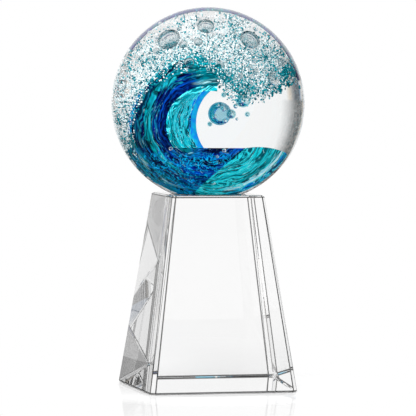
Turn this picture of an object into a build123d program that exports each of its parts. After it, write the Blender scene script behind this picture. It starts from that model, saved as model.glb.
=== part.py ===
"""A clear glass ball with an ocean wave inside, bonded to a tapered crystal plinth.

Lengths are millimetres and +Z is up. The origin is the middle of the plinth's underside,
and the plinth's front face looks along -Y.

The pieces inside the ball are drawn in the ball's own axes: the origin is the ball's
middle, X runs to the right, Y runs away from the viewer and Z is up. One placement
then carries them all to the ball and turns them to the wave's best side.
"""
import os
from math import cos, pi, radians, sin, sqrt, tan

from build123d import *

# Plinth: a square block that tapers upwards, with flats ground on its edges
PLINTH_HEIGHT = 80.2
PLINTH_BASE = 62.0
PLINTH_TOP = 39.0
CORNER_FLAT_BASE = 1.9
CORNER_FLAT_TOP = 1.3
TOP_BEVEL = 0.7
FOOT_BEVEL = 0.5

# Bond between plinth and ball
FILM_THICKNESS = 0.15
FILM_MARGIN = 0.5

# Ball
BALL_DIAMETER = 80.0
BALL_FLAT = 30.4

# Wave: everything coloured lies inside one flattened round body
WAVE_TURN_ANGLE = -14.0
WAVE_RADIUS = 28.8
WAVE_HALF_DEPTH = 19.0
SEA_LEVEL = -14.5

# Hollow under the curl: an oval tube that narrows and drifts right towards the back
HOLLOW_FRONT_Y = -16.0
HOLLOW_FRONT_WIDTH = 26.6
HOLLOW_FRONT_HEIGHT = 24.0
HOLLOW_FRONT_X = 1.0
HOLLOW_FRONT_Z = -7.3
HOLLOW_BACK_Y = 18.0
HOLLOW_BACK_WIDTH = 16.0
HOLLOW_BACK_HEIGHT = 18.0
HOLLOW_BACK_X = 4.4
HOLLOW_BACK_Z = -4.3
HOLLOW_RUN_OUT = 1.0

# Lays of coloured glass round the hollow
FACE_LAY = 1.8
HEART_LAY = 3.2
LIP_ROOT_X = -5.0
LIP_ROOT_ANGLE = 20.0

# Outer line of the curl at the ball's middle, from the lip's tip over the crest and down the back,
# and the share by which it shrinks with each millimetre towards the back
CURL_TAPER = 0.015
LIP_UNDERSIDE = (2.4, 5.0)
LIP_TIP = (4.6, 7.4)
LIP_BROW = (1.6, 11.6)
CREST = (-3.0, 13.4)
UPPER_BACK = (-11.6, 10.2)
SHOULDER = (-18.0, 4.4)
LOWER_BACK = (-22.3, -5.0)
BACK_FOOT_X = -22.6

# Swell on the right of the sea: a low round mound that starts at the trough's edge
SWELL_EDGE_X = 12.6
SWELL_EDGE_ANGLE = 50.0
SWELL_REACH = 4.4
SWELL_RISE = 0.4

# Canes and threads: thin rods laid on the hot glass
RIM_RADIUS = 1.2
RIM_INSET = 0.3
RIM_START_ANGLE = 126.0
RIM_END_ANGLE = 228.0
THREAD_RADIUS = 0.6
THREAD_Y = -10.5
CANE_RADIUS = 0.7
CANE_ROWS = (-3.0, 3.0, 9.0)

# Crown cane: an arc round the upper back, which the ball's edge draws out to a dark line
CROWN_RADIUS = 20.4
CROWN_Y = 16.5
CROWN_CANE_RADIUS = 0.5
CROWN_START_ANGLE = 14.0
CROWN_END_ANGLE = 146.0

# Flecks lying on the trough's outside
FLECK_COUNT = 36
FLECK_LENGTH = 3.2
FLECK_RADIUS = 0.5
FLECK_GAP = 0.1
FLECK_SLANT_ANGLE = 40.0
FLECK_TOP = 2.2
FLECK_FOOT = 0.4

# Spray under the lip: one large blown bubble and some small beads, as (x, y, z) and radius
RING_PLACE = (3.6, -10.0, -2.8)
RING_RADIUS = 3.6
RING_BUBBLE = 2.6
BEAD_WALL = 0.35
BEADS = (
    ((7.5, -14.5, -3.0), 1.6),
    ((10.9, -10.0, 1.6), 2.5),
    ((12.3, -10.0, -3.0), 0.9),
    ((0.6, -14.0, -6.2), 0.9),
    ((4.8, -10.0, 3.0), 0.9),
)

# Foam: grains of frit in a shell round the top, and air bubbles
FOAM_RADIUS = 28.4
FRIT_COUNT = 24
FRIT_RADIUS = 0.6
FRIT_TOP = 24.0
FRIT_BOTTOM = -5.0
SEED_SHELL = 22.0
SEED_COUNT = 14
SEED_RADIUS = 0.9
SEED_TOP = 21.0
SEED_BOTTOM = 16.5
BUBBLES = (
    ((-0.9, -6.0, 25.4), 2.2),
    ((-13.2, -8.0, 21.5), 3.2),
    ((-8.5, -12.5, 20.3), 1.5),
    ((-3.4, -15.0, 21.6), 1.5),
    ((-17.0, -8.0, 17.4), 1.2),
    ((14.0, -9.0, 22.0), 2.6),
    ((-6.7, -20.5, 14.8), 1.9),
    ((4.3, -18.5, 13.9), 1.2),
    ((10.5, -12.0, 9.4), 1.0),
    ((15.7, -12.0, 10.9), 1.2),
    ((21.0, -8.0, 8.2), 2.1),
    ((23.2, -3.0, 13.4), 1.4),
    ((30.5, -5.0, 8.4), 1.6),
)

# Worked out from the sizes above
BALL_RADIUS = BALL_DIAMETER / 2
FLAT_DROP = sqrt(BALL_RADIUS**2 - (BALL_FLAT / 2) ** 2)
BALL_Z = PLINTH_HEIGHT + FILM_THICKNESS + FLAT_DROP
IN_BALL = Location((0, 0, BALL_Z), (0, 0, WAVE_TURN_ANGLE))
GOLDEN_TURN = pi * (3 - sqrt(5))
SWELL_RADIUS = (SWELL_REACH**2 + SWELL_RISE**2) / (2 * SWELL_RISE)
REACH = 2 * BALL_RADIUS


def corner_cut_square(side, flat, z):
    """The eight corners of a square whose corners are cut at 45 degrees, in order."""
    half, inner = side / 2, side / 2 - flat
    quarter = [(half, -inner, z), (half, inner, z)]
    return [Vector(*point).rotate(Axis.Z, 90 * turn) for turn in range(4) for point in quarter]


def make_plinth():
    """The tapered block: flat walls and corner flats, then bevels round its two ends."""
    foot = corner_cut_square(PLINTH_BASE, CORNER_FLAT_BASE, 0)
    top = corner_cut_square(PLINTH_TOP, CORNER_FLAT_TOP, PLINTH_HEIGHT)
    outlines = [foot, top]
    for here in range(8):
        after = (here + 1) % 8
        outlines.append([foot[here], foot[after], top[after], top[here]])
    block = Solid(Shell([make_face(Polyline(*outline, close=True)).face() for outline in outlines]))
    block = chamfer(block.faces().sort_by(Axis.Z)[-1].edges(), TOP_BEVEL)
    return chamfer(block.faces().sort_by(Axis.Z)[0].edges(), FOOT_BEVEL)


def make_bond_film():
    """The clear adhesive between the plinth's top and the ball's flat."""
    base = (Align.CENTER, Align.CENTER, Align.MIN)
    return Pos(0, 0, PLINTH_HEIGHT) * Cylinder(BALL_FLAT / 2 - FILM_MARGIN, FILM_THICKNESS, align=base)


def make_ball():
    """The whole ball in its own axes, with the flat ground on its underside."""
    base = (Align.CENTER, Align.CENTER, Align.MIN)
    return Sphere(BALL_RADIUS) & Pos(0, 0, -FLAT_DROP) * Box(REACH, REACH, REACH, align=base)


def wave_body():
    """The flattened round body that all the coloured glass was shaped to."""
    rim = EllipticalCenterArc((0, 0), WAVE_RADIUS, WAVE_HALF_DEPTH, start_angle=-90, arc_size=180)
    profile = make_face([rim, Line(rim @ 1, rim @ 0)])
    return revolve(profile, Axis.Y)


def body_depth(x, z):
    """Half the wave body's depth at one place of the front view."""
    return WAVE_HALF_DEPTH * sqrt(max(0.0, 1 - (x * x + z * z) / WAVE_RADIUS**2))


def hollow_oval(y, grow):
    """The hollow's middle and half sizes in the section at y, with its wall moved out by grow."""
    share = (y - HOLLOW_FRONT_Y) / (HOLLOW_BACK_Y - HOLLOW_FRONT_Y)

    def between(front, back):
        return front + (back - front) * share

    return (
        between(HOLLOW_FRONT_X, HOLLOW_BACK_X),
        between(HOLLOW_FRONT_Z, HOLLOW_BACK_Z),
        between(HOLLOW_FRONT_WIDTH, HOLLOW_BACK_WIDTH) / 2 + grow,
        between(HOLLOW_FRONT_HEIGHT, HOLLOW_BACK_HEIGHT) / 2 + grow,
    )


def hollow_point(angle, y, grow):
    """A point on the hollow's wall, with the angle in degrees from +X towards +Z."""
    x, z, half_width, half_height = hollow_oval(y, grow)
    return x + half_width * cos(radians(angle)), y, z + half_height * sin(radians(angle))


def hollow(grow):
    """The hollow under the curl, run out past both faces of the wave body."""
    sections = []
    for y in (-WAVE_HALF_DEPTH - HOLLOW_RUN_OUT, WAVE_HALF_DEPTH + HOLLOW_RUN_OUT):
        points = [hollow_point(angle, y, grow) for angle in range(0, 360, 30)]
        sections.append(make_face(Spline(*points, periodic=True)))
    return loft(sections, ruled=True)


def curl_arcs(y):
    """The curl's outer line in the section at y, as three arcs: the lip, the crest and the back."""
    grow = 1 - CURL_TAPER * y

    def at(place):
        return place[0] * grow, y, place[1] * grow

    return [
        ThreePointArc(at(LIP_TIP), at(LIP_BROW), at(CREST)),
        ThreePointArc(at(CREST), at(UPPER_BACK), at(SHOULDER)),
        ThreePointArc(at(SHOULDER), at(LOWER_BACK), at((BACK_FOOT_X, SEA_LEVEL))),
    ]


def curl_zone():
    """All that lies inside the curl's outer line and above the sea, from front to back."""
    sections = []
    for y in (-WAVE_HALF_DEPTH - HOLLOW_RUN_OUT, WAVE_HALF_DEPTH + HOLLOW_RUN_OUT):
        arcs = curl_arcs(y)
        start, foot = arcs[0] @ 0, arcs[-1] @ 1
        root = Vector(LIP_UNDERSIDE[0], 0, LIP_UNDERSIDE[1]) * (1 - CURL_TAPER * y) + Vector(0, y, 0)
        below = Vector(0, 0, -REACH)
        sections.append(make_face(arcs + [Polyline(foot, foot + below, root + below, root, start)]))
    above = Pos(0, 0, SEA_LEVEL + REACH / 2) * Box(2 * REACH, REACH, REACH)
    return loft(sections, ruled=True) & above


def right_of(x, z, lean):
    """A block whose left wall passes through one place, leaning right by so many degrees upwards."""
    base = (Align.MIN, Align.CENTER, Align.CENTER)
    return Location((x, 0, z), (0, lean, 0)) * Box(2 * REACH, REACH, 2 * REACH, align=base)


def make_curl(body):
    """The four lays of the curl: face, heart, back and lip."""
    curl = body & curl_zone()
    face_hollow, heart_hollow = hollow(FACE_LAY), hollow(FACE_LAY + HEART_LAY)
    face = (curl & face_hollow) - hollow(0)
    heart = (curl & heart_hollow) - face_hollow
    outer = curl - heart_hollow
    lip_side = right_of(LIP_ROOT_X, CREST[1], -LIP_ROOT_ANGLE)
    return face, heart, outer - lip_side, outer & lip_side


def make_sea(body):
    """The sea below the wave: the trough, and the swell that stands a little higher on the right."""
    below = Pos(0, 0, SEA_LEVEL - REACH / 2) * Box(2 * REACH, REACH, REACH)
    edge = right_of(SWELL_EDGE_X, SEA_LEVEL, SWELL_EDGE_ANGLE)
    crest = SWELL_EDGE_X + SWELL_REACH, 0, SEA_LEVEL + SWELL_RISE - SWELL_RADIUS
    mound = Location(crest, (90, 0, 0)) * Cylinder(SWELL_RADIUS, REACH)
    return (body & below) - edge, body & edge & mound


def rod(path, radius):
    """A round rod along one path."""
    start = Plane(path @ 0, z_dir=path % 0)
    return sweep(start * Circle(radius), path)


def make_face_rim():
    """The azure cane along the far edge of the curl's face."""
    points = []
    for step in range(7):
        angle = RIM_START_ANGLE + (RIM_END_ANGLE - RIM_START_ANGLE) * step / 6
        y = HOLLOW_BACK_Y
        for _ in range(20):
            x, _, z = hollow_point(angle, y, RIM_INSET)
            y = body_depth(x, z)
        points.append((x, y, z))
    return rod(Spline(*points), RIM_RADIUS)


def make_crest_thread():
    """The pale thread along the crest, near its front edge."""
    crest = curl_arcs(THREAD_Y)[1]
    return rod(crest.trim(0.06, 0.94), THREAD_RADIUS)


def make_canes():
    """The pale canes down the curl's back."""
    return [rod(curl_arcs(y)[2].trim(0.05, 0.72), CANE_RADIUS) for y in CANE_ROWS]


def make_crown_cane():
    """The navy cane in an arc round the crown's back."""
    places = []
    for angle in (CROWN_START_ANGLE, (CROWN_START_ANGLE + CROWN_END_ANGLE) / 2, CROWN_END_ANGLE):
        places.append((CROWN_RADIUS * cos(radians(angle)), CROWN_Y, CROWN_RADIUS * sin(radians(angle))))
    return rod(ThreePointArc(*places), CROWN_CANE_RADIUS)


def capsule(length, radius):
    """A short rod with round ends, lying along X."""
    half = length / 2 - radius
    middle = Rot(0, 90, 0) * Cylinder(radius, 2 * half)
    return middle + Pos(half, 0, 0) * Sphere(radius) + Pos(-half, 0, 0) * Sphere(radius)


def swell_edge(z):
    """How far right the trough reaches at one height."""
    return SWELL_EDGE_X + (z - SEA_LEVEL) * tan(radians(SWELL_EDGE_ANGLE))


def make_flecks():
    """Short flecks lying on the trough's outside, spread by the golden angle."""
    flecks = []
    top, foot = SEA_LEVEL - FLECK_TOP, FLECK_FOOT - WAVE_RADIUS
    for index in range(FLECK_COUNT):
        z = top + (foot - top) * (index + 0.5) / FLECK_COUNT
        turn = index * GOLDEN_TURN
        ring = sqrt(1 - (z / WAVE_RADIUS) ** 2)
        place = Vector(WAVE_RADIUS * ring * cos(turn), WAVE_HALF_DEPTH * ring * sin(turn), z)
        if place.X > swell_edge(z) - FLECK_LENGTH:
            continue
        out = Vector(place.X / WAVE_RADIUS**2, place.Y / WAVE_HALF_DEPTH**2, z / WAVE_RADIUS**2).normalized()
        level = out.cross(Vector(0, 0, 1)).normalized()
        along = level.rotate(Axis((0, 0, 0), out), FLECK_SLANT_ANGLE if index % 2 else -FLECK_SLANT_ANGLE)
        seat = Plane(place + out * (FLECK_RADIUS + FLECK_GAP), x_dir=along, z_dir=out)
        flecks.append(seat * capsule(FLECK_LENGTH, FLECK_RADIUS))
    return flecks


def make_spray():
    """The thick round wall of the large bubble, and the hollow beads under the lip."""
    ring = Pos(*RING_PLACE) * (Sphere(RING_RADIUS) - Sphere(RING_BUBBLE))
    beads = [Pos(*place) * (Sphere(radius) - Sphere(radius - BEAD_WALL)) for place, radius in BEADS]
    return ring, beads


def spiral_places(count, shell, top, bottom, start):
    """Places on a round shell, spread by the golden angle between two heights."""
    places = []
    for index in range(count):
        z = top + (bottom - top) * (index + 0.5) / count
        ring = sqrt(shell**2 - z * z)
        turn = start + index * GOLDEN_TURN
        places.append((ring * cos(turn), ring * sin(turn), z))
    return places


def make_frit(start):
    """One colour's grains of frit, in the foam's shell."""
    places = spiral_places(FRIT_COUNT, FOAM_RADIUS, FRIT_TOP, FRIT_BOTTOM, start)
    return [Pos(*place) * Sphere(FRIT_RADIUS) for place in places]


def make_air():
    """Every air bubble in the clear glass: the large ones and the seeds."""
    air = [Pos(*place) * Sphere(radius) for place, radius in BUBBLES]
    seeds = spiral_places(SEED_COUNT, SEED_SHELL, SEED_TOP, SEED_BOTTOM, 0)
    return air + [Pos(*place) * Sphere(SEED_RADIUS) for place in seeds]


def make_ball_pieces():
    """Every piece of the ball by node name, in the ball's own axes."""
    body = wave_body()
    face, heart, back, lip = make_curl(body)
    trough, swell = make_sea(body)
    rim, thread, canes, flecks = make_face_rim(), make_crest_thread(), make_canes(), make_flecks()
    ring, beads = make_spray()
    pieces = {
        "wave_face": face - rim,
        "wave_heart": heart - rim,
        "wave_back": back - thread - canes,
        "crest_lip": lip - thread,
        "face_rim": rim,
        "crest_thread": thread,
        "back_canes": canes,
        "crown_cane": make_crown_cane(),
        "trough": trough,
        "trough_flecks": flecks,
        "swell": swell,
        "spray_ring": ring,
        "spray_beads": beads,
        "foam_frit_teal": make_frit(0),
        "foam_frit_white": make_frit(pi),
    }
    casing = make_ball()
    for shape in pieces.values():
        casing = casing - shape
    for place, radius in BEADS + ((RING_PLACE, RING_RADIUS),):
        casing = casing - Pos(*place) * Sphere(radius)
    pieces["clear_casing"] = casing - make_air()
    return pieces


def write(name, shape):
    """Write one node's solids to its own file."""
    shapes = shape if isinstance(shape, list) else [shape]
    solids = [solid for piece in shapes for solid in piece.solids()]
    export_step(Compound(children=solids), f"parts/{name}.step")


def main():
    os.makedirs("parts", exist_ok=True)
    write("plinth", make_plinth())
    write("bond_film", make_bond_film())
    for name, shape in make_ball_pieces().items():
        moved = [IN_BALL * solid for solid in shape] if isinstance(shape, list) else IN_BALL * shape
        write(name, moved)


main()
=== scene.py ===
"""Looks of the glass wave sculpture: the clear ball, its wave and foam, and the crystal plinth."""

import logging
from dataclasses import dataclass, field
from enum import Enum
from math import cos, pi, radians, sin, sqrt
from typing import Any, Optional, Sequence

import bmesh
import bpy
import numpy as np
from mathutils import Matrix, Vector, noise
from mathutils.bvhtree import BVHTree


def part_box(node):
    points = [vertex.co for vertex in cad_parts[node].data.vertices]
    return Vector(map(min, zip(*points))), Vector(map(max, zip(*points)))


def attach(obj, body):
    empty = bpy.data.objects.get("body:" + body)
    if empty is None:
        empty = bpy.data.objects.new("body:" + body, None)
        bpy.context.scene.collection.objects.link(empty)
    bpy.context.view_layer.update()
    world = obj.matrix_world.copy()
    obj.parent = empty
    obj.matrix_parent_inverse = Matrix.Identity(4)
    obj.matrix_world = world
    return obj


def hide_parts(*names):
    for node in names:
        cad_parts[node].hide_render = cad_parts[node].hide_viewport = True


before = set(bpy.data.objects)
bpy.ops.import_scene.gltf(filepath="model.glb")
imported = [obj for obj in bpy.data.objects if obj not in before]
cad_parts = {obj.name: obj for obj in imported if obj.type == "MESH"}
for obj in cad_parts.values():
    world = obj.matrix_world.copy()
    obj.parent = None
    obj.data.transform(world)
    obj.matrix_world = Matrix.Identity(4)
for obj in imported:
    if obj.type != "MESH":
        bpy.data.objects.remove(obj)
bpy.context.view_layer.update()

logging.basicConfig(level=logging.INFO, format="%(message)s")
LOG = logging.getLogger("wave")

Triple = tuple[float, float, float]
Colour = Triple
Socket = bpy.types.NodeSocket
# Two ends of a range, or a place across and up
Span = tuple[float, float]
# A colour and how much of it covers what lies below
Layer = tuple[Colour, float]
# Places and their colours
Stops = tuple[tuple[float, Colour], ...]
# Vertices and triangles
Mesh = tuple[np.ndarray, np.ndarray]

MM = 0.001
SEED = 20
GLASS_IOR = 1.5
CRYSTAL_IOR = 1.52
BUBBLE_IOR = 0.85
WAVE_TURN = radians(-14.0)


def grey(level: float) -> Colour:
    """A grey as a colour."""
    return level, level, level


WHITE = grey(1.0)
BLACK = grey(0.0)
INK: Colour = (0.0, 0.0008, 0.01)
NAVY: Colour = (0.0, 0.003, 0.045)
MIDNIGHT: Colour = (0.0, 0.007, 0.09)
COBALT: Colour = (0.0, 0.018, 0.27)
BLUE: Colour = (0.0, 0.075, 0.55)
AZURE: Colour = (0.01, 0.27, 0.85)
CYAN: Colour = (0.01, 0.50, 0.78)
DEEP_TEAL: Colour = (0.0, 0.035, 0.06)
TEAL: Colour = (0.0, 0.17, 0.22)
TURQUOISE: Colour = (0.0, 0.42, 0.50)
AQUA: Colour = (0.015, 0.64, 0.76)
PALE: Colour = (0.45, 0.86, 0.92)


class Zone(Enum):
    """What a sea glass takes its colours by: an output of the flow group, its lowest and highest place."""

    RING = ("Ring", 0.5, 2.1)
    DEPTH = ("Depth", -19.0, 19.0)

    @property
    def output(self) -> str:
        """The flow group's output."""
        return self.value[0]

    @property
    def span(self) -> Span:
        """The lowest and the highest place."""
        return self.value[1:]

    def shares(self, stops: Stops) -> Stops:
        """Stops at the zone's own places, as shares of the way from lowest to highest."""
        low, high = self.span
        return tuple(((place - low) / (high - low), colour) for place, colour in stops)


class Tree:
    """A short way to add shader nodes and join them."""

    def __init__(self, tree: bpy.types.NodeTree) -> None:
        """Wrap a node tree."""
        self.tree = tree

    def add(self, kind: str, options: Optional[dict[str, Any]] = None, **inputs: Any) -> bpy.types.Node:
        """Add a node.

        Args:
            kind: The node's type after "ShaderNode".
            options: Properties to set on the node.
            inputs: A value or an output for each input, by name with _ for a space, or by i and its number.

        Returns:
            The new node.
        """
        node = self.tree.nodes.new("ShaderNode" + kind)
        for name, value in (options or {}).items():
            setattr(node, name, value)
        for name, value in inputs.items():
            key = int(name[1:]) if name[0] == "i" and name[1:].isdigit() else name.replace("_", " ")
            self.feed(node.inputs[key], value)
        return node

    def feed(self, socket: Socket, value: Any) -> None:
        """Join an output to a socket, or set the socket's own value.

        Args:
            socket: The input.
            value: An output, a number, a vector, or a colour without its alpha.
        """
        if isinstance(value, Socket):
            self.tree.links.new(value, socket)
        elif isinstance(value, (tuple, list)) and len(value) == 3 and socket.type == "RGBA":
            socket.default_value = (*value, 1.0)
        else:
            socket.default_value = value

    def math(self, operation: str, *values: Any) -> Socket:
        """Add a Math node.

        Args:
            operation: What it does.
            values: A number or an output for each of its inputs, in order.

        Returns:
            Its output.
        """
        node = self.add("Math", {"operation": operation})
        for socket, value in zip(node.inputs, values):
            self.feed(socket, value)
        return node.outputs[0]

    def product(self, first: Any, *others: Any) -> Socket:
        """Several values multiplied together.

        Args:
            first: A number or an output.
            others: More of them, in order.

        Returns:
            The product.
        """
        for other in others:
            first = self.math("MULTIPLY", first, other)
        return first

    def pushed(self, value: Any, mask: Any, by: float) -> Socket:
        """A value moved up or down by a mask's distance from one half, times a number."""
        return self.math("MULTIPLY_ADD", self.math("SUBTRACT", mask, 0.5), by, value)

    def scaled(self, vector: Any, by: Triple) -> Socket:
        """A vector times three numbers."""
        return self.add("VectorMath", {"operation": "MULTIPLY"}, i0=vector, i1=by).outputs[0]

    def share(self, value: Any, low: float, high: float) -> Socket:
        """Evenly from 0 at low to 1 at high."""
        return self.add("MapRange", Value=value, From_Min=low, From_Max=high).outputs[0]

    def fade(self, value: Any, low: float, high: float) -> Socket:
        """Smoothly from 0 at low to 1 at high, where low may be the larger."""
        smooth = {"interpolation_type": "SMOOTHSTEP"}
        return self.add("MapRange", smooth, Value=value, From_Min=low, From_Max=high).outputs[0]

    def ramp(self, factor: Any, stops: Stops) -> Socket:
        """Add a colour ramp.

        Args:
            factor: The place on it, from 0 to 1.
            stops: Its places and their colours.

        Returns:
            The colour at that place.
        """
        node = self.add("ValToRGB", Fac=factor)
        elements = node.color_ramp.elements
        while len(elements) < len(stops):
            elements.new(1.0)
        for element, (place, colour) in zip(elements, stops):
            element.position = place
            element.color = (*colour, 1.0)
        return node.outputs["Color"]

    def mix(self, factor: Any, a: Any, b: Any) -> Socket:
        """A mix of two colours."""
        return self.add("Mix", {"data_type": "RGBA"}, i0=factor, i6=a, i7=b).outputs[2]

    def place(self) -> Socket:
        """A place in the object's own axes."""
        return self.add("TexCoord").outputs["Object"]

    def height(self, place: Socket) -> Socket:
        """How high a place is."""
        return self.add("SeparateXYZ", Vector=place).outputs[2]

    def mirrored(self, path: bpy.types.Node) -> Socket:
        """1 on rays that glass has mirrored and not let in, by a Light Path node."""
        return self.math("SUBTRACT", path.outputs["Is Glossy Ray"], path.outputs["Is Transmission Ray"])

    def enamel_with_painted_light(self, colour: Socket, painted_glow: float) -> None:
        """End a material with opaque glass that also gives out light of its own colour, a painted light
        since the glass is no lamp.

        Args:
            colour: Its colour.
            painted_glow: How strong the painted light that the glass gives out is.
        """
        shader = self.add("BsdfPrincipled", Base_Color=colour, Roughness=0.5, Specular_IOR_Level=0.0,
                          Emission_Color=colour, Emission_Strength=painted_glow)
        self.add("OutputMaterial", Surface=shader.outputs[0])

    def give_way(self, shader: bpy.types.Node, share: Any, colour: Any) -> None:
        """End a material with a shader that gives way to a clear film.

        Args:
            shader: The shader.
            share: How much of it gives way.
            colour: The film's colour.
        """
        film = self.add("BsdfTransparent", Color=colour)
        mixed = self.add("MixShader", i0=share, i1=shader.outputs[0], i2=film.outputs[0])
        self.add("OutputMaterial", Surface=mixed.outputs[0])


def new_material(name: str) -> tuple[bpy.types.Material, Tree]:
    """An empty node material.

    Args:
        name: Its name.

    Returns:
        The material and its tree.
    """
    material = bpy.data.materials.new(name)
    material.use_nodes = True
    material.node_tree.nodes.clear()
    return material, Tree(material.node_tree)


def new_group(name: str, takes: dict[str, str],
              gives: dict[str, str]) -> tuple[bpy.types.NodeTree, Tree, Any, Any]:
    """An empty node group with named sockets.

    Args:
        name: Its name.
        takes: The kind of each input, by name.
        gives: The kind of each output, by name.

    Returns:
        The group, its tree, what it takes and what it gives.
    """
    group = bpy.data.node_groups.new(name, "ShaderNodeTree")
    for way, sockets in (("INPUT", takes), ("OUTPUT", gives)):
        for socket, kind in sockets.items():
            group.interface.new_socket(socket, in_out=way, socket_type="NodeSocket" + kind)
    inside = group.nodes.new("NodeGroupInput").outputs
    outside = group.nodes.new("NodeGroupOutput").inputs
    return group, Tree(group), inside, outside


@dataclass(frozen=True)
class Hollow:
    """The oval tube under the curl: its sizes in millimetres at its front and back sections."""

    y: Span = (-16.0, 18.0)
    x: Span = (1.0, 4.4)
    z: Span = (-7.3, -4.3)
    half_width: Span = (13.3, 8.0)
    half_height: Span = (12.0, 9.0)

    def line(self, ends: Span) -> Span:
        """How a size given at both sections grows with the depth, and what it is at the ball's middle."""
        slope = (ends[1] - ends[0]) / (self.y[1] - self.y[0])
        return slope, ends[0] - slope * self.y[0]


@dataclass(frozen=True)
class Streaks:
    """Noise drawn out along the flow: its scale outwards, round the curl and in depth, and its detail."""

    scale: Triple
    detail: float


@dataclass
class Effects:
    """The shader node groups that the sea glasses share."""

    centre_z: float
    hollow: Hollow = Hollow()
    ring_spread: float = 12.0
    bend: Streaks = Streaks((0.16, 1.4, 0.10), 2.5)
    bend_push: float = 9.0
    broad: Streaks = Streaks((0.32, 0.9, 0.06), 3.0)
    fine: Streaks = Streaks((1.7, 2.6, 0.18), 4.0)
    thread: Streaks = Streaks((0.75, 1.3, 0.10), 3.0)
    thread_width: Span = (0.035, 0.004)
    glint: Streaks = Streaks((2.6, 5.5, 0.5), 3.0)
    glint_fade: Span = (0.62, 0.70)
    flow_group: bpy.types.NodeTree = field(init=False)
    brush_group: bpy.types.NodeTree = field(init=False)

    def __post_init__(self) -> None:
        """Build both groups."""
        self.flow_group = self.make_flow()
        self.brush_group = self.make_brush()

    def make_flow(self) -> bpy.types.NodeTree:
        """Places along the curl, in the ball's own axes and millimetres.

        Ring is the distance from the hollow's middle line in shares of its oval, so it is 1 at the
        hollow's wall. Turn is the angle round that line, depth is the way back, and flow is all three.

        Returns:
            The group.
        """
        group, tree, takes, gives = new_group(
            "curl_flow", {"Place": "Vector"},
            {"Flow": "Vector", "Ring": "Float", "Turn": "Float", "Depth": "Float", "Local": "Vector"})
        local = tree.add("Mapping", {"vector_type": "TEXTURE"}, Vector=takes["Place"], Scale=(MM, MM, MM),
                         Location=(0, 0, self.centre_z), Rotation=(0, 0, WAVE_TURN)).outputs[0]
        x, y, z = tree.add("SeparateXYZ", Vector=local).outputs

        def size(ends: Span) -> Socket:
            """A size of the hollow at this depth."""
            return tree.math("MULTIPLY_ADD", y, *self.hollow.line(ends))

        across = tree.math("SUBTRACT", x, size(self.hollow.x))
        above = tree.math("SUBTRACT", z, size(self.hollow.z))
        wide = tree.math("DIVIDE", across, size(self.hollow.half_width))
        high = tree.math("DIVIDE", above, size(self.hollow.half_height))
        ring = tree.math("SQRT", tree.math("ADD", tree.product(wide, wide), tree.product(high, high)))
        turn = tree.math("ARCTAN2", high, tree.product(wide, -1.0))
        flow = tree.add("CombineXYZ", X=tree.product(ring, self.ring_spread), Y=turn, Z=y).outputs[0]
        for name, value in (("Flow", flow), ("Ring", ring), ("Turn", turn), ("Depth", y), ("Local", local)):
            tree.feed(gives[name], value)
        return group

    def make_brush(self) -> bpy.types.NodeTree:
        """Masks of streaks along a flow that is bent a little: bands, fine streaks, threads and glints.

        Returns:
            The group.
        """
        group, tree, takes, gives = new_group(
            "brush", {"Flow": "Vector"}, dict.fromkeys(("Broad", "Fine", "Thread", "Glint"), "Float"))
        bend = tree.add("TexNoise", Vector=tree.scaled(takes["Flow"], self.bend.scale), Scale=1.0,
                        Detail=self.bend.detail)
        push = tree.math("MULTIPLY_ADD", bend.outputs["Fac"], self.bend_push, -self.bend_push / 2)
        flow = tree.add("VectorMath", {"operation": "ADD"}, i0=takes["Flow"],
                        i1=tree.add("CombineXYZ", X=push).outputs[0]).outputs[0]

        def drawn(streaks: Streaks) -> Socket:
            """The noise of some streaks."""
            return tree.add("TexNoise", Vector=tree.scaled(flow, streaks.scale), Scale=1.0,
                            Detail=streaks.detail, Roughness=0.6).outputs["Fac"]

        thread = tree.math("ABSOLUTE", tree.math("SUBTRACT", drawn(self.thread), 0.5))
        tree.feed(gives["Broad"], drawn(self.broad))
        tree.feed(gives["Fine"], drawn(self.fine))
        tree.feed(gives["Thread"], tree.fade(thread, *self.thread_width))
        tree.feed(gives["Glint"], tree.fade(drawn(self.glint), *self.glint_fade))
        return group


@dataclass(frozen=True)
class ClearGlass:
    """Clear polished glass that lets lamps through to what is inside.

    Where other glass mirrors it from outside, all above a span of heights shows black in place of its
    reflection, a painted shade, with a fade from the first height to the second.
    """

    name: str
    ior: float
    tint: Colour = (0.985, 0.995, 0.995)
    black_in_mirrors_above: Optional[Span] = None

    def make(self) -> bpy.types.Material:
        """Build the finish.

        Returns:
            The material.
        """
        material, tree = new_material(self.name)
        glass = tree.add("BsdfPrincipled", Base_Color=self.tint, Roughness=0.0, IOR=self.ior,
                         Transmission_Weight=1.0)
        path = tree.add("LightPath")
        passed, tint = path.outputs["Is Shadow Ray"], self.tint
        # Painted shade: where another glass mirrors this one from outside, it shows black above the given
        # heights in place of its reflection.
        if self.black_in_mirrors_above is not None:
            behind = tree.add("NewGeometry").outputs["Backfacing"]
            front = tree.math("SUBTRACT", tree.mirrored(path), behind)
            outside = tree.product(front, tree.fade(tree.height(tree.place()), *self.black_in_mirrors_above))
            passed = tree.math("MAXIMUM", passed, outside)
            tint = tree.mix(outside, self.tint, BLACK)
        tree.give_way(glass, passed, tint)
        return material


@dataclass(frozen=True)
class AirGlass:
    """Air in clear glass, whose edge turns dark where it throws light aside."""

    name: str
    ior: float

    def make(self) -> bpy.types.Material:
        """Build the finish.

        Returns:
            The material.
        """
        material, tree = new_material(self.name)
        air = tree.add("BsdfGlass", Color=WHITE, Roughness=0.0, IOR=self.ior)
        tree.give_way(air, tree.add("LightPath").outputs["Is Shadow Ray"], WHITE)
        return material


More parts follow.
